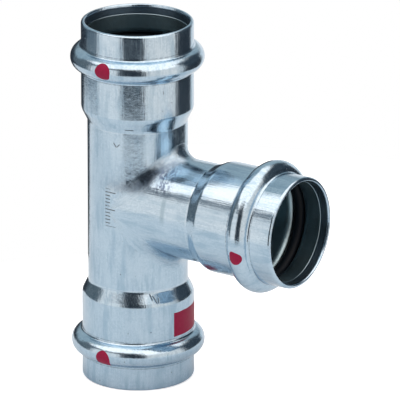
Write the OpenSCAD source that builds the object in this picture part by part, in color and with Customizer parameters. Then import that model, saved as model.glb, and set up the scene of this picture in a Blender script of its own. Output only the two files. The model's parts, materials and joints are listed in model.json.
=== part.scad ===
// Equal press tee for metal pipe. The run stands on its lower mouth, along Z, and the branch points to +X.
// The origin is the centre of the lower mouth's rim. Millimetres.

/* [Pipe] */
// Outside diameter of the pipe that is pressed in, and of the tee's own tube
pipe_d = 28; // [26:0.5:30]
// Wall of the formed tube
wall = 1.5; // [1.3:0.1:1.5]
// Room between pipe and socket, on the diameter
pipe_gap = 0.4; // [0.2:0.05:0.6]

/* [Tee] */
// Length of the run from mouth to mouth
run_len = 104; // [98:1:130]
// Distance from the run's axis to the branch's mouth
branch_reach = 54.3; // [50:0.1:70]
// Outside radius of the blend where the branch leaves the run
crotch_r = 4.2; // [3:0.1:5.5]
// How much larger that radius gets on the way to the tee's flanks
flank_gain = 7; // [0:0.5:9]

/* [Socket] */
// Depth from the mouth to the stop, where the socket starts to narrow
stop_depth = 24.2; // [21:0.1:26]
// Length of the narrowing behind the stop
cone_len = 4.7; // [4:0.1:6]
// Outside radius of the shoulder where the narrowing starts
shoulder_r = 3.3; // [2.5:0.1:4]
// Outside radius of the hollow where the narrowing ends
neck_r = 2; // [1:0.1:3]
// Rounding of the mouth's outer edge
lip_round = 0.8; // [0.4:0.1:0.9]
// Depth of the lead-in that guides the pipe's end
lead_len = 1.8; // [0.8:0.1:2.4]
// Widening of the lead-in at the mouth, on the radius
lead_gap = 0.25; // [0.1:0.05:0.3]

/* [Bead] */
// Distance from the mouth to the crest of the bead
bead_pos = 10.4; // [9:0.1:12]
// Rise of the bead over the collar
bead_rise = 3; // [2.6:0.1:3.4]
// Outside radius of the crest
crest_r = 3.1; // [3.1:0.1:3.6]
// Outside radius of the bead's two feet
foot_r = 0.8; // [0.5:0.1:1.4]

/* [Seal] */
// Thickness of the seal's round section
seal_d = 3.15; // [2.6:0.05:3.15]

/* [Paint] */
// Thickness of the paint
paint_t = 0.06; // [0.05:0.01:0.1]
// Size of the dots on the run's beads
dot_d = 4.9; // [3:0.1:5.5]
// Size of the dot on the branch's bead
dot_branch_d = 3.8; // [3:0.1:5.5]
// Top dot's place along X
dot_top_x = 1.1; // [-4:0.1:4]
// Top dot's distance from the mouth
dot_top_depth = 10.6; // [9:0.1:11.5]
// Bottom dot's place along X
dot_bottom_x = 1; // [-4:0.1:4]
// Bottom dot's distance from the mouth
dot_bottom_depth = 9.2; // [9:0.1:11.5]
// Branch dot's height over the branch's axis
dot_branch_z = -3.5; // [-4:0.1:4]
// Branch dot's distance from the mouth
dot_branch_depth = 9.9; // [9:0.1:11.5]
// Height of the painted field on the lower socket
field_h = 7.1; // [4:0.1:8]
// Distance from the lower mouth to the field
field_pos = 14.8; // [14.4:0.1:15.5]
// Where the field starts, in degrees from +X
field_from = -16; // [-40:1:20]
// How far the field runs round the socket, in degrees
field_turn = 104; // [40:1:180]

/* [Hidden] */
$fn = 96;
tube_r = pipe_d / 2;
socket_r = tube_r + pipe_gap / 2 + wall;
bead_top = socket_r + bead_rise;
axis_h = run_len / 2;
cone_end = stop_depth + cone_len;
// Steps in a rounding of the wall's outline, and in the bead's crest, where the seal lies
round_steps = 6;
crest_steps = 16;
// How far a cutting shape runs past the face that it cuts
over = 1;
// How far the crotch blend stands proud of the tubes at its edges, and how deep its root goes
blend_lift = 0.025;
blend_root = 0.6;
// Steps of the blend along its sweep, steps across it, and the angle round the run where the sweep ends
blend_steps = 28;
blend_across = 7;
blend_end = 82;

// A rounding about c, as points from angle a to angle b
function arc(c, r, a, b, steps = round_steps) =
    [for (i = [0 : steps]) let (t = a + (b - a) * i / steps) c + r * [cos(t), sin(t)]];

function reversed(list) = [for (i = [len(list) - 1 : -1 : 0]) list[i]];

// The bead's outline at a depth t under the outer face, as [distance from the mouth, radius].
// Crest and feet are arcs that meet on a tangent, and every depth has the same centres.
function bead_line(t) =
    let (
        crest = [bead_pos, bead_top - crest_r],
        foot_h = socket_r + foot_r,
        dy = foot_h - crest.y,
        dx = sqrt((crest_r + foot_r) ^ 2 - dy ^ 2),
        tilt = atan2(dy, dx)
    )
    concat(
        arc([bead_pos - dx, foot_h], foot_r + t, -90, -tilt),
        arc(crest, crest_r - t, 180 - tilt, tilt, crest_steps),
        arc([bead_pos + dx, foot_h], foot_r + t, 180 + tilt, 270)
    );

// The narrowing from socket to tube: shoulder, straight cone and hollow, at a depth t under the outer face
function cone_line(t) =
    let (
        dx = cone_len,
        dy = tube_r + neck_r - socket_r + shoulder_r,
        slope = asin((shoulder_r + neck_r) / norm([dx, dy])) - atan2(dy, dx)
    )
    concat(
        arc([stop_depth, socket_r - shoulder_r], shoulder_r - t, 90, 90 - slope),
        arc([cone_end, tube_r + neck_r], neck_r + t, 270 - slope, 270)
    );

// The outer outline from the rim's flat to the plain tube
function outer_line() =
    concat(arc([lip_round, socket_r - lip_round], lip_round, 180, 90), bead_line(0), cone_line(0));

// The bore's outline from outside the mouth to the plain tube, with the lead-in
function inner_line() =
    let (bore_r = socket_r - wall)
    concat(
        [[-over, bore_r + lead_gap], [0, bore_r + lead_gap], [lead_len, bore_r]],
        bead_line(wall),
        cone_line(wall)
    );

// A turned solid with a socket's outline at one end and plain tube of radius r at the other
module turned(line, len, r) {
    low = [for (p = line) [p.y, p.x]];
    rotate_extrude()
        polygon(concat([[0, low[0].y]], low, [[r, len], [0, len]]));
}

// A turned solid with the same socket outline at both ends
module turned_both(line, len) {
    low = [for (p = line) [p.y, p.x]];
    high = [for (p = line) [p.y, len - p.x]];
    rotate_extrude()
        polygon(concat([[0, low[0].y]], low, reversed(high), [[0, high[0].y]]));
}

// A socket's own frame has its mouth at the origin and +Z going in, so the lower one is in place already
module at_top() translate([0, 0, run_len]) rotate([180, 0, 0]) children();
module at_branch() translate([branch_reach, 0, axis_h]) rotate([0, -90, 0]) children();

// The crotch blend is the trace of a ball that rolls in the corner of two tubes of radius R and touches both.
// Its centre follows the tubes' mitre; a is the angle round the run. The ball has radius r in the middle of
// the crotch and grows towards the flanks.
function ball_r(r, a) = r + flank_gain * abs(sin(a)) ^ 6;

// The direction from the ball's centre to its face, from the run's side at f = 0 to the branch's at f = 1
function ball_ray(a, f) =
    let (
        to_run = [-cos(a), -sin(a), 0],
        to_branch = [0, -sin(a), -cos(a)],
        w = acos(to_run * to_branch)
    )
    (sin((1 - f) * w) * to_run + sin(f * w) * to_branch) / sin(w);

// One section of the blend: its round face, then its root, which stays inside the tubes
function blend_ring(R, r, a) =
    let (
        b = ball_r(r, a),
        centre = (R + b) * [cos(a), sin(a), cos(a)],
        half = acos(sin(a) ^ 2) / 2
    )
    concat(
        [for (j = [0 : blend_across]) centre + (b - blend_lift) * ball_ray(a, j / blend_across)],
        [
            centre + (b + blend_root) * ball_ray(a, 1),
            centre + (b / cos(half) + 2 * blend_root) * ball_ray(a, 0.5),
            centre + (b + blend_root) * ball_ray(a, 0),
        ]
    );

// What fills the corner above the branch, from one flank of the tee to the other
module crotch_blend(R, r) {
    size = blend_across + 4;
    rings = [
        for (i = [0 : blend_steps])
            blend_ring(R, r, blend_end * (2 * i / blend_steps - 1))
    ];
    side = [
        for (i = [0 : blend_steps - 1], j = [0 : size - 1])
            let (a = i * size + j, b = i * size + (j + 1) % size)
            each [[a, a + size, b], [b, a + size, b + size]]
    ];
    first = [for (j = [0 : size - 1]) j];
    last = [for (j = [size - 1 : -1 : 0]) blend_steps * size + j];
    polyhedron([for (ring = rings) each ring], concat(side, [first, last]));
}

module both_crotches(R, r) {
    translate([0, 0, axis_h])
        for (flip = [0, 1])
            mirror([0, 0, flip]) crotch_blend(R, r);
}

// The outside of the tee, without its bore
module outside() {
    turned_both(outer_line(), run_len);
    at_branch() turned(outer_line(), branch_reach, tube_r);
    both_crotches(tube_r, crotch_r);
}

// The way for the pipes and the water, one wall under the outside all over
module waterway() {
    turned_both(inner_line(), run_len);
    at_branch() turned(inner_line(), branch_reach, tube_r - wall);
    both_crotches(tube_r - wall, crotch_r + wall);
}

// The drawn tube with its three formed sockets
module tee_body() {
    color("#b7c4cd")
        difference() {
            union() outside();
            union() waterway();
        }
}

// The rubber ring, pushed up against the inside of the bead's crest
module seal() {
    color("#1d1f20")
        translate([0, 0, bead_pos])
            rotate_extrude()
                translate([bead_top - wall - seal_d / 2, 0]) circle(d = seal_d, $fn = 32);
}

// A skin of paint all over the bead
module bead_skin() {
    rotate_extrude()
        polygon([for (p = concat(bead_line(-paint_t), reversed(bead_line(0)))) [p.y, p.x]]);
}

// What a stamp that comes from -Y leaves of its children: a round dot with one corner, where the paint ran.
// The corner points to lower right, and turn moves it on anticlockwise.
module stamped(x, z, d, turn = 0) {
    color("#b01f42")
        intersection() {
            children();
            translate([x, 0, z])
                rotate([90, 0, 0])
                    linear_extrude(bead_top + over)
                        rotate(turn - 90) {
                            circle(d = d, $fn = 48);
                            square(d / 2);
                        }
        }
}

module paint_dot_bottom() {
    stamped(dot_bottom_x, dot_bottom_depth, dot_d) bead_skin();
}

module paint_dot_top() {
    stamped(dot_top_x, run_len - dot_top_depth, dot_d) at_top() bead_skin();
}

module paint_dot_branch() {
    stamped(branch_reach - dot_branch_depth, axis_h + dot_branch_z, dot_branch_d, 170) at_branch() bead_skin();
}

// The painted rectangle on the lower socket, between bead and stop
module paint_field() {
    color("#b01f42")
        rotate([0, 0, field_from])
            rotate_extrude(angle = field_turn)
                translate([socket_r, field_pos]) square([paint_t, field_h]);
}

tee_body();
seal();  // seal_bottom
at_top() seal();  // seal_top
at_branch() seal();  // seal_branch
paint_dot_bottom();
paint_dot_top();
paint_dot_branch();
paint_field();
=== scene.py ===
import json
import math

import bpy
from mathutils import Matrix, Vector, noise


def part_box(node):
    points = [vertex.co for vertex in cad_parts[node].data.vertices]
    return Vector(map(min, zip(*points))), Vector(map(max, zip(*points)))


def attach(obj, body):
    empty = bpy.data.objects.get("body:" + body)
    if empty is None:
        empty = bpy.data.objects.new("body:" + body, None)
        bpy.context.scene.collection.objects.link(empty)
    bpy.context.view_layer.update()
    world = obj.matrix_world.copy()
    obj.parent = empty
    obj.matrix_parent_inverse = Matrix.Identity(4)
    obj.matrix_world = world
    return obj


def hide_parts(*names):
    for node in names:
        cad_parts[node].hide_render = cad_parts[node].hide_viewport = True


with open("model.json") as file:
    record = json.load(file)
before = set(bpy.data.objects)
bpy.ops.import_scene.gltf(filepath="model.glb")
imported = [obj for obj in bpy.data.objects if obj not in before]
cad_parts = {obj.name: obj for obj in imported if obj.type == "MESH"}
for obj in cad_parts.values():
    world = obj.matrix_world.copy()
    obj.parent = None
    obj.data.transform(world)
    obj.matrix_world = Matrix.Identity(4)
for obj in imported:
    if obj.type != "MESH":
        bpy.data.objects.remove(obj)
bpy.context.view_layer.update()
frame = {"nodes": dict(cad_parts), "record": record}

# Sizes are in metres and angles in degrees. Values of paint and materials are in millimetres where a comment
# says so. The frame gives the outer sizes, and the rest are the part's own.
MM = 0.001
body_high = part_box("tee_body")[1]
run_len = body_high.z
axis_h = run_len / 2
reach = body_high.x
mounts = {m["name"]: m for m in frame["record"]["mounts"]}
bore_r = mounts["socket_top"]["dims"]["r_mm"] * MM
wall = 1.5 * MM
pipe_room = 0.2 * MM
socket_r = bore_r + wall
tube_r = bore_r - pipe_room
crotch_r = 4.2 * MM
flank_gain = 7 * MM
stop_depth = 24.2 * MM
cone_len = 4.7 * MM
cone_end = stop_depth + cone_len
shoulder_r = 3.3 * MM
neck_r = 2 * MM
lip_round = 0.8 * MM
bead_pos = 10.4 * MM
bead_rise = 3 * MM
bead_top = socket_r + bead_rise
crest_r = 3.1 * MM
foot_r = 0.8 * MM
paint_t = 0.06 * MM

# The lead-in: its depth, its widening on the radius, and the step that it ends in
lead_len = 2.7 * MM
lead_gap = 0.25 * MM
lead_step = 0.1 * MM
# The mouth's rounded inner edge: its width across the rim, and how far it falls into the bore
rim_round = 0.44 * MM
rim_fall = 1.1 * MM

# How finely the shell is meshed: columns round a tube, rows on a plain tube, the widest gap between rows of
# an outline, and steps across the crotch blend and in each rounding
COLUMNS = 160
OUTER_ROWS = 26
INNER_ROWS = 8
ROW_GAP = 1.3 * MM
BLEND_STEPS = 14
CREST_STEPS = 18
FOOT_STEPS = 5
LIP_STEPS = 6
RIM_STEPS = 7
# Points of the shell that are closer than this are one point
WELD = 0.001 * MM

ARMS = ("top", "bottom", "branch")


# The tube's outline

def arc(centre, radius, start, end, steps, hollow=False):
    """Rows of an outline along an arc, each as (distance from the mouth, radius, normal's two parts)."""
    side = -1 if hollow else 1
    rows = []
    for i in range(steps + 1):
        a = math.radians(start + (end - start) * i / steps)
        c, s = math.cos(a), math.sin(a)
        rows.append((centre[0] + radius * c, centre[1] + radius * s, side * c, side * s))
    return rows


def bead_rows(depth):
    """The bead at a depth under the outer face: foot, crest, foot, as arcs that meet on a tangent."""
    crest = (bead_pos, bead_top - crest_r)
    foot_h = socket_r + foot_r
    dy = foot_h - crest[1]
    dx = math.sqrt((crest_r + foot_r) ** 2 - dy ** 2)
    tilt = math.degrees(math.atan2(dy, dx))
    return (
        arc((bead_pos - dx, foot_h), foot_r + depth, -90, -tilt, FOOT_STEPS, hollow=True)
        + arc(crest, crest_r - depth, 180 - tilt, tilt, CREST_STEPS)
        + arc((bead_pos + dx, foot_h), foot_r + depth, 180 + tilt, 270, FOOT_STEPS, hollow=True)
    )


def cone_rows(depth):
    """The narrowing from socket to tube at a depth under the outer face: shoulder, straight cone, hollow."""
    dy = tube_r + neck_r - socket_r + shoulder_r
    turn = math.asin((shoulder_r + neck_r) / math.hypot(cone_len, dy))
    slope = math.degrees(turn - math.atan2(dy, cone_len))
    return (
        arc((stop_depth, socket_r - shoulder_r), shoulder_r - depth, 90, 90 - slope, FOOT_STEPS)
        + arc((cone_end, tube_r + neck_r), neck_r + depth, 270 - slope, 270, FOOT_STEPS, hollow=True)
    )


def filled(rows):
    """The same outline with more rows on its straight stretches, and without repeated rows."""
    out = [rows[0]]
    for row in rows[1:]:
        last = out[-1]
        length = math.hypot(row[0] - last[0], row[1] - last[1])
        if length < 1e-8:
            continue
        steps = max(1, math.ceil(length / ROW_GAP))
        for i in range(1, steps + 1):
            f = i / steps
            out.append(tuple(a + (b - a) * f for a, b in zip(last, row)))
    return out


def outer_rows():
    """The outer face from the rim's flat to the start of the plain tube."""
    rim = [(0, bore_r + lead_gap + rim_round, -1, 0)]
    lip = arc((lip_round, socket_r - lip_round), lip_round, 180, 90, LIP_STEPS)
    return filled(rim + lip + bead_rows(0) + cone_rows(0))


def edge_rows():
    """The mouth's inner edge, a quarter of an ellipse, with normals that point into the metal."""
    rows = []
    for i in range(RIM_STEPS + 1):
        a = math.radians(90 * i / RIM_STEPS)
        c, s = math.cos(a), math.sin(a)
        length = math.hypot(c / rim_fall, s / rim_round)
        place = (rim_fall * (1 - c), bore_r + lead_gap + rim_round * (1 - s))
        rows.append((*place, c / rim_fall / length, s / rim_round / length))
    return rows


def inner_rows():
    """The bore from the rim's round inner edge, over the lead-in and its small step, to the start of the
    plain tube. Its normals point to the axis."""
    tip = math.atan2(lead_len - rim_fall, lead_gap - lead_step)
    lead = [(rim_fall, bore_r + lead_gap), (lead_len, bore_r + lead_step)]
    step = [(lead_len, bore_r + lead_step), (lead_len + lead_step, bore_r)]
    bore = [(lead_len + lead_step, bore_r, 0, 1)] + bead_rows(wall) + cone_rows(wall)
    rows = (
        filled(edge_rows())
        + filled([(*place, math.cos(tip), math.sin(tip)) for place in lead])
        + filled([(*place, math.sqrt(0.5), math.sqrt(0.5)) for place in step])
        + filled(bore)
    )
    return [(s, r, -ns, -nr) for s, r, ns, nr in rows]


def outer_face(s):
    """Radius and normal of the outer face at a distance from the mouth."""
    rows = outer_rows()
    for low, high in zip(rows, rows[1:]):
        if low[0] <= s <= high[0] and high[0] > low[0]:
            f = (s - low[0]) / (high[0] - low[0])
            return tuple(a + (b - a) * f for a, b in zip(low[1:], high[1:]))
    return tube_r, 0, 1


# Places on the three arms. An angle of 0 looks along +X on the run, and up on the branch.

def column_angle(i):
    """The angle of a column round an arm. Columns run from one flank past the branch, or the top, to the
    other flank and on."""
    return math.radians(360 * i / COLUMNS - 90)


def turned(arm, s, across, angle):
    """The place at a distance s from an arm's mouth and across from its axis."""
    c, d = math.cos(angle), math.sin(angle)
    if arm == "top":
        return Vector((across * c, across * d, run_len - s))
    if arm == "bottom":
        return Vector((across * c, across * d, s))
    return Vector((reach - s, across * d, axis_h + across * c))


def turned_way(arm, along, across, angle):
    """A direction, given along an arm, away from its mouth, and across it."""
    return turned(arm, along, across, angle) - turned(arm, 0, 0, angle)


# The tube's small unevenness, which bends the reflections

# Waves, each with its height and size in millimetres and its seed: all over, and where the tube was worked
TUBE_WAVES = ((0.024, 11, 3.1), (0.01, 4.5, 8.7))
DRAWN_WAVES = ((0.05, 3.4, 5.3), (0.024, 1.7, 1.9))
# The tube was worked round the mitre where the branch was pulled out: where that starts and is full along X,
# how far it reaches, and its width
DRAWN_START = -7 * MM
DRAWN_FULL = 3 * MM
DRAWN_REACH = 24 * MM
DRAWN_WIDTH = 3.2 * MM
# The swelling along the mitre on both flanks
SWELL = 0.3 * MM
SWELL_WIDTH = 2.2 * MM


def wave(point, size, seed):
    """A smooth value between about -1 and 1."""
    return noise.noise(point / size + Vector((seed, 0, 0)))


def waves(point, kinds):
    """The height of several waves together at a point."""
    return sum(height * MM * wave(point, size * MM, seed) for height, size, seed in kinds)


def soft_step(value, low, high):
    """0 up to low, 1 from high on, and a soft step in between."""
    f = min(1, max(0, (value - low) / (high - low)))
    return f * f * (3 - 2 * f)


def seam_gap(point):
    """How much further a place is off the run's axis than off the branch's."""
    return math.hypot(point.x, point.y) - math.hypot(point.y, point.z - axis_h)


def drawn_share(point):
    """How much a place was worked when the branch was pulled out: 1 in the crotch and 0 far from it."""
    if point.x < DRAWN_START or max(point.x, abs(point.z - axis_h)) > DRAWN_REACH:
        return 0
    near = soft_step(point.x, DRAWN_START, DRAWN_FULL)
    return near * math.exp(-(seam_gap(point) / DRAWN_WIDTH) ** 2)


def relief(point, inside):
    """How far the drawn face stands off its true form. Outside it is wavier where the tube was worked."""
    height = waves(point, TUBE_WAVES)
    drawn = drawn_share(point)
    if inside or not drawn:
        return height
    near = soft_step(point.x, DRAWN_START, DRAWN_FULL)
    flank = min(1, abs(point.y) / tube_r) ** 4
    swell = max(0, 1 - (seam_gap(point) / SWELL_WIDTH) ** 2) ** 2
    return height + SWELL * near * flank * swell + drawn * waves(point, DRAWN_WAVES)


def uneven_normal(point, normal, inside):
    """The normal that the relief gives at a point."""
    step = 0.15 * MM
    here = relief(point, inside)
    slope = Vector([
        relief(point + Vector([step if k == axis else 0 for k in range(3)]), inside) - here
        for axis in range(3)
    ]) / step
    slope -= normal * slope.dot(normal)
    return (normal - slope).normalized()


# The shell

class Skin:
    """Points that are shared where faces meet, and faces that look outwards. Each corner of a face keeps a
    normal of its own, so an edge may be sharp."""

    def __init__(self):
        self.index = {}
        self.points = []
        self.ways = []
        self.inside = []
        self.branch = []
        self.faces = []
        self.normals = []

    def corner(self, point, normal, inside, branch):
        """The point's number, with the normal that it has in this surface."""
        key = tuple(round(c / WELD) for c in point)
        if key not in self.index:
            self.index[key] = len(self.points)
            self.points.append(point)
            self.ways.append(normal)
            self.inside.append(inside)
            self.branch.append(branch)
        return self.index[key], normal

    def grid(self, rows, closed=False):
        """Faces between neighbouring rows of corners."""
        for low, high in zip(rows, rows[1:]):
            for i in range(len(low) if closed else len(low) - 1):
                j = (i + 1) % len(low)
                self.face([low[i], low[j], high[j], high[i]])

    def face(self, corners):
        """One face, turned to look the way of its normals, and left out where it has no area."""
        ring = [c for i, c in enumerate(corners) if c[0] != corners[i - 1][0]]
        if len({number for number, _ in ring}) < 3:
            return
        area = Vector()
        for (a, _), (b, _) in zip(ring, ring[1:] + ring[:1]):
            area += self.points[a].cross(self.points[b])
        if area.dot(sum((normal for _, normal in ring), Vector())) < 0:
            ring.reverse()
        self.faces.append([number for number, _ in ring])
        self.normals.extend(ring)

    def moved_points(self):
        """The points on the uneven face."""
        return [p + n * relief(p, i) for p, n, i in zip(self.points, self.ways, self.inside)]

    def moved_normals(self):
        """The uneven face's normal at each corner, worked out once where it repeats."""
        known = {}
        for number, normal in self.normals:
            key = (number, tuple(round(c * 100) for c in normal))
            if key not in known:
                known[key] = uneven_normal(self.points[number], normal, self.inside[number])
            yield known[key]


def blend_ball(angle):
    """The radius of the ball that rolls in the outer crotch. It grows towards the tee's flanks."""
    return crotch_r + flank_gain * abs(math.sin(angle)) ** 6


def tube_rows(arm, start, radius, column, face, count):
    """Places down the plain tube of an arm, from the cone's end to the crotch blend's edge."""
    angle = column_angle(column)
    edge = (tube_r + blend_ball(angle)) * abs(math.cos(angle))
    if arm != "branch" and math.cos(angle) < 0:
        edge = 0
    length = (reach if arm == "branch" else axis_h) - edge
    rows = []
    for k in range(1, count + 1):
        s = start + (length - start) * k / count
        rows.append((turned(arm, s, radius, angle), turned_way(arm, 0, face, angle)))
    return rows


def add_arm(skin, arm, outline, face, count):
    """One of the three arms, from its mouth to the crotch. face is 1 outside and -1 inside."""
    start, radius = outline[-1][:2]
    inside = 0 if face > 0 else 1
    branch = 1 if arm == "branch" else 0
    columns = []
    for i in range(COLUMNS):
        angle = column_angle(i)
        line = [(turned(arm, s, r, angle), turned_way(arm, ns, nr, angle)) for s, r, ns, nr in outline]
        line += tube_rows(arm, start, radius, i, face, count)
        columns.append([skin.corner(p, n, inside, branch) for p, n in line])
    skin.grid([list(row) for row in zip(*columns)], closed=True)


def blend_ray(angle, up, f):
    """The direction from the ball's centre to the blend, from the run's side at f = 0 to the branch's at 1.
    up is 1 above the branch's axis and -1 below it."""
    c, d = math.cos(angle), math.sin(angle)
    to_run = Vector((-c, -d, 0))
    to_branch = Vector((0, -d, -up * c))
    sweep = math.acos(min(1, d * d))
    if sweep < 1e-6:
        return to_run
    return (to_run * math.sin((1 - f) * sweep) + to_branch * math.sin(f * sweep)) / math.sin(sweep)


def blend_place(depth, angle, up, f):
    """A place on the blend at a depth under the outer face."""
    c, d = math.cos(angle), math.sin(angle)
    ball = blend_ball(angle)
    centre = (tube_r + ball) * Vector((c, d, up * c)) + Vector((0, 0, axis_h))
    return centre + blend_ray(angle, up, f) * (ball + depth)


def blend_normal(depth, angle, up, f, face):
    """The blend's normal. At its two tips, where it has no width, it is the tube's."""
    ray = blend_ray(angle, up, f) * -face
    tip = 0.02
    if abs(math.cos(angle)) < tip:
        return ray
    step = 0.002
    round_run = blend_place(depth, angle + step, up, f) - blend_place(depth, angle - step, up, f)
    across = blend_place(depth, angle, up, f + step) - blend_place(depth, angle, up, f - step)
    normal = round_run.cross(across).normalized()
    return normal if normal.dot(ray) > 0 else -normal


def add_blend(skin, depth, up, face):
    """The rolled corner between run and branch, above the branch's axis or below it."""
    rows = []
    for i in range(COLUMNS // 2 + 1):
        angle = column_angle(i)
        row = []
        for k in range(BLEND_STEPS + 1):
            f = k / BLEND_STEPS
            normal = blend_normal(depth, angle, up, f, face)
            row.append(skin.corner(blend_place(depth, angle, up, f), normal, 0 if face > 0 else 1, f))
        rows.append(row)
    skin.grid(rows)


def mesh_object(name, points, faces):
    mesh = bpy.data.meshes.new(name)
    mesh.from_pydata(points, [], faces)
    mesh.update()
    piece = bpy.data.objects.new(name, mesh)
    bpy.context.scene.collection.objects.link(piece)
    for polygon in mesh.polygons:
        polygon.use_smooth = True
    return piece


def add_attribute(piece, name, values):
    attribute = piece.data.attributes.new(name, "FLOAT", "POINT")
    attribute.data.foreach_set("value", values)


def make_shell():
    """The whole tube wall as one closed mesh: outside, bore and the three rims."""
    skin = Skin()
    for arm in ARMS:
        add_arm(skin, arm, outer_rows(), 1, OUTER_ROWS)
    for up in (1, -1):
        add_blend(skin, 0, up, 1)
    for arm in ARMS:
        add_arm(skin, arm, inner_rows(), -1, INNER_ROWS)
    for up in (1, -1):
        add_blend(skin, wall, up, -1)
    shell = mesh_object("tee_shell", skin.moved_points(), skin.faces)
    add_attribute(shell, "inside", skin.inside)
    add_attribute(shell, "branch", skin.branch)
    add_attribute(shell, "drawn", [drawn_share(point) for point in skin.points])
    shell.data.normals_split_custom_set(list(skin.moved_normals()))
    return shell


# Paint

# Rings of a film of paint over its face and back under it: the share of the way from its middle to its edge,
# and the height as a share of the paint's thickness
FILM_SUNK = -0.6
FILM_RINGS = (
    (0.15, 1), (0.3, 1), (0.45, 1), (0.6, 1), (0.72, 1), (0.82, 1), (0.9, 1), (0.95, 0.93), (0.98, 0.7),
    (0.995, 0.3), (1, -0.3), (0.8, FILM_SUNK), (0.6, FILM_SUNK), (0.4, FILM_SUNK), (0.2, FILM_SUNK),
)

# The dots, in millimetres: the arm, the middle as distance from the mouth and distance round from -Y, the
# radius, its stretch along the arm, and the tip's length as a share of the radius, its direction and spread
DOTS = {
    "paint_dot_top": ("top", (10.1, 0.9), 2.4, 0.92, (0.16, 46, 22)),
    "paint_dot_bottom": ("bottom", (9.5, 0.6), 2.2, 1.16, (0.18, -46, 22)),
    "paint_dot_branch": ("branch", (9.7, -4.2), 1.95, 0.9, (0.3, 30, 24)),
}
DOT_POINTS = 56
# How uneven a dot's edge is, as a share of its radius, and the size of that unevenness on a dot of radius 1
DOT_WOBBLE = 0.035
DOT_WOBBLE_SIZE = 0.55

# The painted field, in millimetres: its middle and size, each along the arm and round it, the gap between
# points of its edge, and the height, size and seed of the edge's bends
FIELD_MIDDLE = (18.35, 34.5)
FIELD_SIZE = (7.1, 28.5)
FIELD_GAP = 0.4
FIELD_BEND = (0.07, 2.3, 6.4)


def film_place(arm, s, turn, height):
    """A place over an arm's outer face, turned round the arm from its -Y side."""
    radius, along, across = outer_face(s)
    angle = math.radians(-90) + turn
    place = turned(arm, s, radius, angle)
    way = turned_way(arm, along, across, angle).normalized()
    return place + way * (height + relief(place, 0))


def film_faces(count, last):
    """Faces of a film with count points in a ring. Its middle is point 0 on top and point last under it."""
    faces = [(0, 1 + i, 1 + (i + 1) % count) for i in range(count)]
    for start in range(1, last - count, count):
        for i in range(count):
            a, b = start + i, start + (i + 1) % count
            faces.append((a, a + count, b + count, b))
    start = last - count
    return faces + [(last, start + (i + 1) % count, start + i) for i in range(count)]


def make_film(name, arm, middle, outline):
    """A thin film of paint, closed all round, with a rounded edge that dips into the metal's face."""
    depth, round_way = (value * MM for value in middle)
    radius = outer_face(depth)[0]
    points = [film_place(arm, depth, round_way / radius, paint_t)]
    for share, height in FILM_RINGS:
        points += [
            film_place(arm, depth + share * ds, (round_way + share * dw) / radius, paint_t * height)
            for ds, dw in outline
        ]
    points.append(film_place(arm, depth, round_way / radius, paint_t * FILM_SUNK))
    film = mesh_object(name, points, film_faces(len(outline), len(points) - 1))
    area = (points[2] - points[1]).cross(points[1] - points[0])
    if area.dot(points[0] - points[-1]) > 0:
        film.data.flip_normals()
    return film


def drop_outline(radius, stretch, tip, tip_way, spread, seed):
    """A dot of paint with a tip where it ran, as steps along the arm and round it."""
    outline = []
    for i in range(DOT_POINTS):
        a = 360 * i / DOT_POINTS
        c, s = math.cos(math.radians(a)), math.sin(math.radians(a))
        off = (a - tip_way + 180) % 360 - 180
        wobble = DOT_WOBBLE * wave(Vector((c, s, seed)), DOT_WOBBLE_SIZE, seed)
        r = radius * (1 + tip * math.exp(-(off / spread) ** 2) + wobble)
        outline.append((stretch * r * s, r * c))
    return outline


def field_outline():
    """The rectangle's outline, with edges that are not quite straight."""
    height, length = (size / 2 * MM for size in FIELD_SIZE)
    corners = [(-height, -length), (-height, length), (height, length), (height, -length)]
    bend, bend_size, seed = FIELD_BEND
    outline = []
    for a, b in zip(corners, corners[1:] + corners[:1]):
        steps = round(math.dist(a, b) / (FIELD_GAP * MM))
        for i in range(steps):
            ds, dw = (p + (q - p) * i / steps for p, q in zip(a, b))
            shift = bend * MM * wave(Vector((ds, dw, 0)), bend_size * MM, seed)
            outline.append((ds + shift, dw + shift))
    return outline


def make_paint_films():
    """The dots and the field, each with the node that it replaces."""
    films = []
    for seed, (node, (arm, middle, radius, stretch, tip)) in enumerate(DOTS.items()):
        outline = drop_outline(radius * MM, stretch, *tip, seed + 1.5)
        films.append((make_film(node.replace("paint_", "film_"), arm, middle, outline), node))
    films.append((make_film("film_field", "bottom", FIELD_MIDDLE, field_outline()), "paint_field"))
    return films


# Materials

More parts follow.
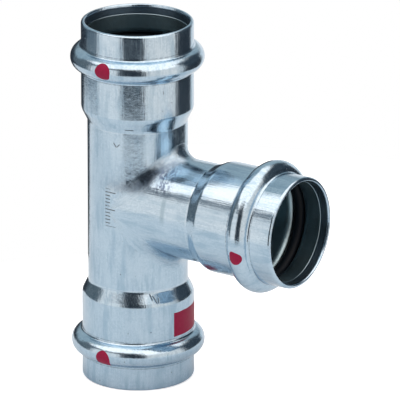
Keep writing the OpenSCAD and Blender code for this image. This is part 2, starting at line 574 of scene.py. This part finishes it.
class Graph:
    """Short calls for the shader nodes that the materials and the studio use."""

    def __init__(self, owner):
        owner.use_nodes = True
        self.nodes = owner.node_tree.nodes
        self.links = owner.node_tree.links

    def plug(self, socket, value):
        """Links a socket to another's output, or sets it to a number or a colour."""
        if isinstance(value, bpy.types.NodeSocket):
            self.links.new(value, socket)
        elif isinstance(value, tuple) and len(value) == 3 and socket.type == "RGBA":
            socket.default_value = (*value, 1)
        else:
            socket.default_value = value

    def add(self, kind, inputs, **settings):
        """A node with its settings and its inputs, which are given by name or by number."""
        node = self.nodes.new(kind)
        for name, value in settings.items():
            setattr(node, name, value)
        for name, value in inputs.items():
            self.plug(node.inputs[name], value)
        return node

    def math(self, operation, a, b=0.0):
        return self.add("ShaderNodeMath", {0: a, 1: b}, operation=operation).outputs[0]

    def plus(self, a, b):
        return self.math("ADD", a, b)

    def minus(self, a, b):
        return self.math("SUBTRACT", a, b)

    def times(self, a, b):
        return self.math("MULTIPLY", a, b)

    def larger(self, a, b):
        return self.math("MAXIMUM", a, b)

    def smooth(self, value, low, high):
        """0 up to low, 1 from high on, and a soft step in between."""
        inputs = {"Value": value, "From Min": low, "From Max": high}
        return self.add("ShaderNodeMapRange", inputs, interpolation_type="SMOOTHSTEP").outputs["Result"]

    def window(self, value, low, high, soft):
        """1 between low and high, with soft edges, and 0 outside."""
        rise = self.smooth(value, low - soft, low + soft)
        fall = self.smooth(value, high + soft, high - soft)
        return self.times(rise, fall)

    def mix(self, factor, a, b):
        """A colour from a to b as factor goes from 0 to 1. The node's colour sockets have these numbers."""
        return self.add("ShaderNodeMix", {0: factor, 6: a, 7: b}, data_type="RGBA").outputs[2]

    def mix_vector(self, factor, a, b):
        """The same between two vectors."""
        return self.add("ShaderNodeMix", {0: factor, 4: a, 5: b}, data_type="VECTOR").outputs[1]

    def blend(self, factor, low, high):
        """A number from low to high as factor goes from 0 to 1."""
        inputs = {"Value": factor, "To Min": low, "To Max": high}
        return self.add("ShaderNodeMapRange", inputs).outputs["Result"]

    def scaled(self, vector, scale):
        return self.add("ShaderNodeVectorMath", {0: vector, 1: scale}, operation="MULTIPLY").outputs[0]

    def split(self, vector):
        """The three parts of a vector."""
        return self.add("ShaderNodeSeparateXYZ", {0: vector}).outputs

    def noise(self, vector, scale, detail, rough):
        inputs = {"Vector": vector, "Scale": scale, "Detail": detail, "Roughness": rough}
        return self.add("ShaderNodeTexNoise", inputs).outputs["Fac"]

    def spots(self, vector, scale, radius, seed):
        """1 in the middle of scattered spots and 0 beyond their radius."""
        shift = (seed, seed, seed)
        shifted = self.add("ShaderNodeVectorMath", {0: vector, 1: shift}, operation="ADD").outputs[0]
        distance = self.add("ShaderNodeTexVoronoi", {"Vector": shifted, "Scale": scale}).outputs["Distance"]
        return self.smooth(distance, radius * scale, radius * scale * SPOT_CORE)

    def bump(self, height, distance, normal=None):
        inputs = {"Height": height, "Distance": distance, "Strength": 1.0}
        if normal is not None:
            inputs["Normal"] = normal
        return self.add("ShaderNodeBump", inputs).outputs["Normal"]

    def attribute(self, name):
        return self.add("ShaderNodeAttribute", {}, attribute_name=name).outputs["Fac"]

    def millimetres(self):
        """The place on the part, in millimetres."""
        place = self.add("ShaderNodeTexCoord", {}).outputs["Object"]
        return self.scaled(place, (1 / MM, 1 / MM, 1 / MM))


def new_material(name):
    material = bpy.data.materials.new(name)
    graph = Graph(material)
    return material, graph, graph.nodes["Principled BSDF"]


# The zinc. All its sizes and places are in millimetres. A window is given as low, high and softness.

# The zinc's noises: the way that they stretch, their scale, detail and roughness
NOISES = {
    "lines": ("long", 3, 3, 0.65),
    "comb": ("long", 1.15, 2, 0.6),
    "streaks": ("short", 1.1, 3, 0.65),
    "patches": ("short", 0.42, 3, 0.6),
    # this noise only breaks up the painted dark reflection streaks on the branch's neck
    "neck_reflection_noise": ("upright", 1.2, 2, 0.5),
    "grain": ("even", 1.7, 3, 0.65),
    "peel": ("even", 0.6, 2, 0.5),
    "cloud": ("even", 0.14, 3, 0.5),
    "torn": ("even", 0.42, 2, 0.5),
}
# How finely a noise runs along its arm, as a share of how finely it runs across
LONG_STRETCH = 0.045
SHORT_STRETCH = 0.16
UPRIGHT_STRETCH = 0.13

# Nicks, as spots: scale, radius, seed. The long ones stretch along the arm. A spot is full up to its core, a
# share of its radius, and a nick shows only in part.
LONG_NICKS = (0.22, 0.16, 7.3)
ROUND_NICKS = (0.2, 0.24, 2.9)
SPOT_CORE = 0.4
NICK_SHARE = 0.6
# Scratches: distance round the run from -Y, height, length, tilt from level
SCRATCHES = (
    (6.1, 76.4, 2.4, 0), (1.9, 71.6, 1.5, -55), (2.9, 71.5, 1.2, 50),
    (11.9, 27.3, 1.9, -70), (12.9, 26.6, 2.4, -62), (13.9, 26.3, 1.4, 84),
)
# Half of a scratch's width, and how soft its sides and its ends are
SCRATCH_HALF = 0.12
SCRATCH_SOFT = 0.12
SCRATCH_END_SOFT = 0.2
# A plain scale of strokes, one a millimetre, on the run's -Y side: its two ends as heights over the branch's
# axis, and the part of each millimetre that a stroke takes
TICK_ENDS = (-4.5, 6.5, 0.05)
TICK_PART = (0.36, 0.64, 0.06)
# One stroke in so many is long, and all of them stay in front of this Y
TICK_GROUP = 5
TICK_FRONT = -10
# Along X, where strokes start, and where short and long ones end
TICK_LEFT = (-1.35, -1.2)
TICK_RIGHT = (0.5, 2.2)
TICK_RIGHT_SOFT = 0.15
# Whole numbers that lift every height on the scale above 0. The second one also says which stroke is long.
TICK_LIFT = 20
TICK_GROUP_LIFT = 19
TICK_GROUP_SOFT = 0.01
# Where the strokes are worn away: the noise, and the range of it over which they fade in
TICK_WEAR = (1.6, 2, 0.5)
TICK_WEAR_RANGE = (0.26, 0.42)

# Lines at distances from a mouth: the dark lines at the foot of each bead, which are painted shade, the light
# one at the stop, and where the bore's darker tone starts and the lead-in's painted dark reflection ends
FOOT_SHADE_LINES = ((6.45, 6.7, 0.12), (14.15, 14.4, 0.12))
STOP_LINE = (28.8, 29.1, 0.12)
BORE_START = (0.6, 1)
LEAD_END = (2.85, 2.6)
# Painted dark reflections in the crotch and on the branch's neck, along X and as heights over the branch's
# axis
CROTCH_REFLECTION_HEIGHT = (6.5, 14.5, 1.5)
RING_X = (16.9, 18.2, 0.4)
RING_HEIGHT = (0, 6.5, 1.5)
NECK_REFLECTION_X = (13, 18, 1.6)
NECK_REFLECTION_HEIGHT = (7.5, 13, 1.6)
# How noises break up the painted shade and reflections: the range of a noise over which one fades in, or the
# shares that it gives
FOOT_SHADE_RANGE = (0.3, 0.6)
NECK_REFLECTION_RANGE = (0.4, 0.62)
CROTCH_REFLECTION_SHARES = (0.4, 1.3)

# The clean zinc's colours, from speckle to speckle, in the dark and in the light of its fine lines
DARK_LINES = ((0.355, 0.495, 0.62), (0.425, 0.575, 0.7))
LIGHT_LINES = ((0.42, 0.57, 0.695), (0.49, 0.65, 0.775))
# The ranges of the two noises over which the colour changes
LINE_RANGE = (0.25, 0.75)
SPECKLE_RANGE = (0.3, 0.7)
# Cloudy layers over it: the noise, its range, the share that shows, the colour
CLOUDY_LAYERS = (
    ("streaks", (0.5, 0.72), 0.6, (0.32, 0.46, 0.6)),
    ("patches", (0.48, 0.66), 0.8, (0.31, 0.46, 0.59)),
    ("cloud", (0.45, 0.68), 0.45, (0.5, 0.65, 0.77)),
)
# Painted shade and dark reflections, and the stop's light line, over those: the share that shows, the colour
SHADE_AND_MARK_LAYERS = (
    # painted dark reflection in the upper crotch
    ("smear", 0.9, (0.06, 0.1, 0.16)),
    # painted dark reflection streaks on the branch's neck
    ("rake", 0.85, (0.07, 0.11, 0.2)),
    # painted dark reflection band on the branch's flank
    ("ring", 0.5, (0.2, 0.32, 0.4)),
    ("stop", 0.2, (0.7, 0.82, 0.9)),
    # painted shade at the foot of each bead
    ("feet", 0.6, (0.1, 0.14, 0.18)),
)
# The bore is darker, and cloudy too, and its lead-in darker still, a painted dark reflection
BORE_TONES = ((0.26, 0.38, 0.44), (0.35, 0.48, 0.54))
# painted dark reflection on the lead-in
LEAD_IN_REFLECTION_TONE = (0.16, 0.24, 0.32)
NICK_TONE = (0.11, 0.14, 0.17)
TICK_TONE = (0.13, 0.16, 0.19)

# Roughness in the dark and in the light of the lines, and what the bore and the marks add to it
ROUGHNESS = (0.08, 0.28)
BORE_ROUGHER = 0.16
MARK_ROUGHER = 0.3
# Heights of the bumps
BUMPS = {"lines": 0.013, "comb": 0.036, "grain": 0.009, "peel": 0.026, "torn": 0.17, "nicks": 0.04}


def from_mouth(graph, place):
    """The distance from the nearest mouth, along its arm."""
    x, _, z = graph.split(place)
    height = graph.math("ABSOLUTE", graph.minus(z, axis_h / MM))
    run_part = graph.minus(axis_h / MM, height)
    return graph.math("MINIMUM", run_part, graph.minus(reach / MM, x))


def scratches(graph, place):
    """The scratches on the run: 1 in a scratch and 0 beside it."""
    x, y, z = graph.split(place)
    angle = graph.math("ARCTAN2", x, graph.times(y, -1))
    round_way = graph.times(angle, tube_r / MM)
    mask = 0.0
    for way, height, length, tilt in SCRATCHES:
        c, s = math.cos(math.radians(tilt)), math.sin(math.radians(tilt))
        du = graph.minus(round_way, way)
        dv = graph.minus(z, height)
        along = graph.plus(graph.times(du, c), graph.times(dv, s))
        across = graph.minus(graph.times(dv, c), graph.times(du, s))
        line = graph.window(along, -length / 2, length / 2, SCRATCH_END_SOFT)
        stroke = graph.times(line, graph.window(across, -SCRATCH_HALF, SCRATCH_HALF, SCRATCH_SOFT))
        mask = graph.larger(mask, stroke)
    return mask


def tick_marks(graph, place):
    """The scale of strokes on the run's -Y side: 1 on a stroke and 0 beside it."""
    x, y, z = graph.split(place)
    height = graph.minus(z, axis_h / MM)
    within = graph.window(height, *TICK_ENDS)
    part = graph.math("FRACT", graph.plus(height, TICK_LIFT))
    stroke = graph.window(part, *TICK_PART)
    group = graph.math("FRACT", graph.times(graph.plus(height, TICK_GROUP_LIFT), 1 / TICK_GROUP))
    long_one = graph.window(group, 1 - 1 / TICK_GROUP, 1, TICK_GROUP_SOFT)
    to_right = graph.minus(graph.blend(long_one, *TICK_RIGHT), x)
    column = graph.times(graph.smooth(x, *TICK_LEFT), graph.smooth(to_right, 0, TICK_RIGHT_SOFT))
    front = graph.math("LESS_THAN", y, TICK_FRONT)
    mask = graph.times(graph.times(within, stroke), graph.times(column, front))
    worn = graph.smooth(graph.noise(place, *TICK_WEAR), *TICK_WEAR_RANGE)
    return graph.times(mask, worn)


def zinc_grounds(graph, place):
    """The place on the part, as each kind of noise sees it. Some stretch along the arm that they are on."""
    branch = graph.attribute("branch")
    grounds = {"even": place, "upright": graph.scaled(place, (1, 1, UPRIGHT_STRETCH))}
    for name, share in (("long", LONG_STRETCH), ("short", SHORT_STRETCH)):
        on_run = graph.scaled(place, (1, 1, share))
        on_branch = graph.scaled(place, (share, 1, 1))
        grounds[name] = graph.mix_vector(branch, on_run, on_branch)
    return grounds


def zinc_masks(graph, grounds, noises):
    """The zinc's marks, its painted shade and dark reflections, and the parts of its bore: 1 on each and 0
    beside it.
    """
    place = grounds["even"]
    x, y, z = graph.split(place)
    height = graph.minus(z, axis_h / MM)
    depth = from_mouth(graph, place)
    drawn = graph.attribute("drawn")
    front = graph.math("LESS_THAN", y, 0)
    spots = graph.larger(graph.spots(grounds["short"], *LONG_NICKS), graph.spots(place, *ROUND_NICKS))
    # painted shade: dark lines in the hollows at the foot of each bead, standing in for the mirrored dark
    # room
    feet = graph.larger(*(graph.window(depth, *line) for line in FOOT_SHADE_LINES))
    # painted reflection: a dark patch in the upper crotch, where the tube was worked
    smear = graph.times(graph.times(drawn, drawn), graph.window(height, *CROTCH_REFLECTION_HEIGHT))
    # painted reflection: a dark band across the branch's -Y flank just past the crotch
    ring = graph.times(graph.window(x, *RING_X), graph.window(height, *RING_HEIGHT))
    # painted reflection: dark streaks on the upper neck of the branch, on the -Y side only
    rake = graph.times(graph.window(x, *NECK_REFLECTION_X), graph.window(height, *NECK_REFLECTION_HEIGHT))
    rake = graph.times(rake, graph.smooth(noises["neck_reflection_noise"], *NECK_REFLECTION_RANGE))
    return {
        "nicks": graph.larger(graph.times(spots, NICK_SHARE), scratches(graph, place)),
        "ticks": tick_marks(graph, place),
        "feet": graph.times(feet, graph.smooth(noises["streaks"], *FOOT_SHADE_RANGE)),
        "stop": graph.window(depth, *STOP_LINE),
        "smear": graph.times(smear, graph.blend(noises["torn"], *CROTCH_REFLECTION_SHARES)),
        "ring": graph.times(ring, front),
        "rake": graph.times(rake, front),
        "bore": graph.times(graph.attribute("inside"), graph.smooth(depth, *BORE_START)),
        # painted reflection: the lead-in's darker band
        "lead": graph.smooth(depth, *LEAD_END),
    }


def zinc_colour(graph, noises, masks):
    """The clean zinc's colour, then cloudy layers, painted shade and dark reflections, the stop's line, the
    bore, nicks and strokes over it.
    """
    speckle = graph.smooth(noises["grain"], *SPECKLE_RANGE)
    dark = graph.mix(speckle, *DARK_LINES)
    light = graph.mix(speckle, *LIGHT_LINES)
    tone = graph.mix(graph.smooth(noises["lines"], *LINE_RANGE), dark, light)
    for name, (low, high), share, colour in CLOUDY_LAYERS:
        tone = graph.mix(graph.times(graph.smooth(noises[name], low, high), share), tone, colour)
    for name, share, colour in SHADE_AND_MARK_LAYERS:
        tone = graph.mix(graph.times(masks[name], share), tone, colour)
    darker_bore = graph.mix(noises["cloud"], *BORE_TONES)
    tone = graph.mix(masks["bore"], tone, graph.mix(masks["lead"], darker_bore, LEAD_IN_REFLECTION_TONE))
    tone = graph.mix(masks["nicks"], tone, NICK_TONE)
    return graph.mix(masks["ticks"], tone, TICK_TONE)


def zinc_roughness(graph, noises, masks):
    rough = graph.plus(graph.blend(noises["lines"], *ROUGHNESS), graph.times(masks["bore"], BORE_ROUGHER))
    marks = graph.larger(masks["nicks"], masks["ticks"])
    return graph.plus(rough, graph.times(marks, MARK_ROUGHER))


def zinc_normal(graph, noises, masks):
    """The noises as bumps. One of them is in the worked crotch alone, and the nicks go inwards."""
    heights = dict(noises)
    heights["torn"] = graph.times(noises["torn"], graph.attribute("drawn"))
    heights["nicks"] = graph.times(masks["nicks"], -1)
    normal = None
    for name, height in BUMPS.items():
        normal = graph.bump(heights[name], height * MM, normal)
    return normal


def make_zinc():
    """Bright zinc on drawn tube: fine marks along each arm, a mottled tone, painted shade and dark
    reflections, a few nicks, a darker bore.
    """
    material, graph, shader = new_material("zinc_steel")
    grounds = zinc_grounds(graph, graph.millimetres())
    noises = {name: graph.noise(grounds[ground], *kind) for name, (ground, *kind) in NOISES.items()}
    masks = zinc_masks(graph, grounds, noises)
    graph.plug(shader.inputs["Base Color"], zinc_colour(graph, noises, masks))
    graph.plug(shader.inputs["Roughness"], zinc_roughness(graph, noises, masks))
    graph.plug(shader.inputs["Normal"], zinc_normal(graph, noises, masks))
    shader.inputs["Metallic"].default_value = 1
    return material


# Rubber and paint

# Each has a grain, as a noise's scale, detail and roughness, the colours and the roughness at the noise's two
# ends, and a bump in millimetres
RUBBER_GRAIN = (3, 2, 0.5)
RUBBER_TONES = ((0.003, 0.006, 0.01), (0.006, 0.011, 0.018))
RUBBER_ROUGHNESS = (0.42, 0.56)
RUBBER_SPECULAR = 0.15
RUBBER_BUMP = 0.01
PAINT_GRAIN = (1.1, 3, 0.6)
PAINT_TONES = ((0.21, 0.003, 0.034), (0.34, 0.009, 0.064))
PAINT_ROUGHNESS = (0.35, 0.55)
PAINT_SPECULAR = 0.18
PAINT_BUMP = 0.02


def grained_material(name, grain, tones, roughness, specular, bump):
    """A material whose colour, roughness and bump follow one noise."""
    material, graph, shader = new_material(name)
    fine = graph.noise(graph.millimetres(), *grain)
    graph.plug(shader.inputs["Base Color"], graph.mix(fine, *tones))
    graph.plug(shader.inputs["Roughness"], graph.blend(fine, *roughness))
    shader.inputs["Specular IOR Level"].default_value = specular
    graph.plug(shader.inputs["Normal"], graph.bump(fine, bump * MM))
    return material


def make_rubber():
    """Smooth black rubber."""
    look = (RUBBER_GRAIN, RUBBER_TONES, RUBBER_ROUGHNESS, RUBBER_SPECULAR, RUBBER_BUMP)
    return grained_material("seal_rubber", *look)


def make_paint():
    """Paint put on by stamp, a little cloudy."""
    look = (PAINT_GRAIN, PAINT_TONES, PAINT_ROUGHNESS, PAINT_SPECULAR, PAINT_BUMP)
    return grained_material("red_paint", *look)


def wear(piece, material):
    piece.data.materials.clear()
    piece.data.materials.append(material)


# The studio

CAMERA_AZIMUTH = 34
CAMERA_ELEVATION = 19.1
CAMERA_DISTANCE = 2
CAMERA_CLIP = (0.1, 20)
PIXELS_PER_MM = 3.58
IMAGE_SIZE = 400
SENSOR = 36
TEE_CENTRE_PIXEL = (137.4, 196.7)

# What stands round the part, as azimuths from the camera's own and elevations: left, right, low, high,
# softness of the edges, light. Each covers the ones before it.
WHITE = (1, 1, 1)
DARK_ROOM = (0.038, 0.046, 0.056)
PANELS = {
    "far left wall": (-139, -72, -10, 50, 6, (0.17, 0.19, 0.2)),
    "left wall": (-126, -72, -60, -4, 6, (0.15, 0.18, 0.2)),
    "far right wall": (86, 178, 4, 46, 8, (0.06, 0.075, 0.09)),
    "ceiling": (-200, 200, 46, 100, 8, (2.05, 1.76, 1.6)),
    "back wall, left": (-200, -124, 14, 68, 6, (0.5, 0.57, 0.59)),
    "back wall, right": (150, 200, 14, 50, 6, (0.5, 0.57, 0.59)),
    "right softbox": (14, 86, -60, 30, 4, (1.2, 1.03, 0.93)),
    "high right softbox": (8, 86, 30, 66, 6, (2.1, 1.78, 1.6)),
    "left softbox": (-88, -32, -60, 30, 3, (1.28, 1.12, 1.03)),
    "left gap": (-124, -40, 32, 37, 3, (0.22, 0.25, 0.28)),
    "high left softbox": (-116, -44, 40, 57, 3, (2.2, 1.86, 1.68)),
    "backdrop": (142, 200, -60, 11, 4, (1.3, 1.25, 1.22)),
}

# The floor's edge in sectors: first and last azimuth from the camera's own, distance in millimetres. Its tone
# is what the metal mirrors, and its glow is for the camera alone.
FLOOR_SECTORS = ((-139, -86, 274), (-82, 62, 246), (70, 118, 188), (124, 178, 200), (182, 210, 100))
FLOOR_STEP = 6
FLOOR_TONE = (0.795, 0.858, 0.905)
FLOOR_GLOW = 0.6


def make_camera():
    """A long lens, placed so that the tee's centre falls on its pixel without a shift."""
    a, e = math.radians(CAMERA_AZIMUTH), math.radians(CAMERA_ELEVATION)
    back = Vector((math.sin(a) * math.cos(e), -math.cos(a) * math.cos(e), math.sin(e)))
    turn = (-back).to_track_quat("-Z", "Y")
    right, up = turn @ Vector((1, 0, 0)), turn @ Vector((0, 1, 0))
    middle = (IMAGE_SIZE - 1) / 2
    aim = Vector((0, 0, axis_h))
    aim += right * (middle - TEE_CENTRE_PIXEL[0]) / PIXELS_PER_MM * MM
    aim -= up * (middle - TEE_CENTRE_PIXEL[1]) / PIXELS_PER_MM * MM
    data = bpy.data.cameras.new("camera")
    data.sensor_width = SENSOR
    data.lens = PIXELS_PER_MM / MM * CAMERA_DISTANCE * SENSOR / IMAGE_SIZE
    data.clip_start, data.clip_end = CAMERA_CLIP
    camera = bpy.data.objects.new("camera", data)
    camera.location = aim + back * CAMERA_DISTANCE
    camera.rotation_mode = "QUATERNION"
    camera.rotation_quaternion = turn
    bpy.context.scene.collection.objects.link(camera)
    bpy.context.scene.camera = camera


def look_angles(graph):
    """The azimuth from the camera's own, and the elevation, of a place in the world."""
    way = graph.add("ShaderNodeTexCoord", {}).outputs["Generated"]
    inputs = {"Vector": way, "Angle": math.radians(-CAMERA_AZIMUTH)}
    from_camera = graph.add("ShaderNodeVectorRotate", inputs, rotation_type="Z_AXIS").outputs[0]
    x, y, z = graph.split(from_camera)
    azimuth = graph.math("ARCTAN2", x, graph.times(y, -1))
    return graph.math("DEGREES", azimuth), graph.math("DEGREES", graph.math("ARCSINE", z))


def make_world():
    """A dark room with large soft lights in it, all of them fixed to the part's frame. The camera sees white
    all round, and the metal mirrors the same white where the backdrop stands."""
    world = bpy.data.worlds.new("studio")
    bpy.context.scene.world = world
    graph = Graph(world)
    azimuth, elevation = look_angles(graph)
    colour = DARK_ROOM
    masks = {}
    for name, (left, right, low, high, soft, light) in PANELS.items():
        across = graph.window(azimuth, left, right, soft)
        masks[name] = graph.times(across, graph.window(elevation, low, high, soft))
        colour = graph.mix(masks[name], colour, light)
    rays = graph.add("ShaderNodeLightPath", {}).outputs
    mirrored = graph.larger(rays["Is Glossy Ray"], rays["Is Transmission Ray"])
    white = graph.larger(rays["Is Camera Ray"], graph.times(mirrored, masks["backdrop"]))
    graph.plug(graph.nodes["Background"].inputs["Color"], graph.mix(white, colour, WHITE))


def make_floor():
    """A pale table top. The camera sees it white where no shadow falls."""
    corners = []
    for first, last, distance in FLOOR_SECTORS:
        steps = math.ceil((last - first) / FLOOR_STEP)
        for i in range(steps + 1):
            a = math.radians(CAMERA_AZIMUTH + first + (last - first) * i / steps)
            corners.append((distance * MM * math.sin(a), -distance * MM * math.cos(a), 0))
    floor = mesh_object("floor", corners, [tuple(range(len(corners)))])
    material, graph, shader = new_material("floor")
    graph.plug(shader.inputs["Base Color"], FLOOR_TONE)
    shader.inputs["Roughness"].default_value = 1
    shader.inputs["Specular IOR Level"].default_value = 0
    seen = graph.add("ShaderNodeLightPath", {}).outputs["Is Camera Ray"]
    graph.plug(shader.inputs["Emission Color"], WHITE)
    graph.plug(shader.inputs["Emission Strength"], graph.times(seen, FLOOR_GLOW))
    wear(floor, material)


make_camera()
make_world()
make_floor()

zinc = make_zinc()
rubber = make_rubber()
paint = make_paint()

shell = make_shell()
wear(shell, zinc)
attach(shell, "root")
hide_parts("tee_body")

for film, node in make_paint_films():
    wear(film, paint)
    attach(film, "root")
    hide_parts(node)

for name, node in frame["nodes"].items():
    if name.startswith("seal_"):
        wear(node, rubber)

bpy.context.scene.view_settings.view_transform = "Standard"
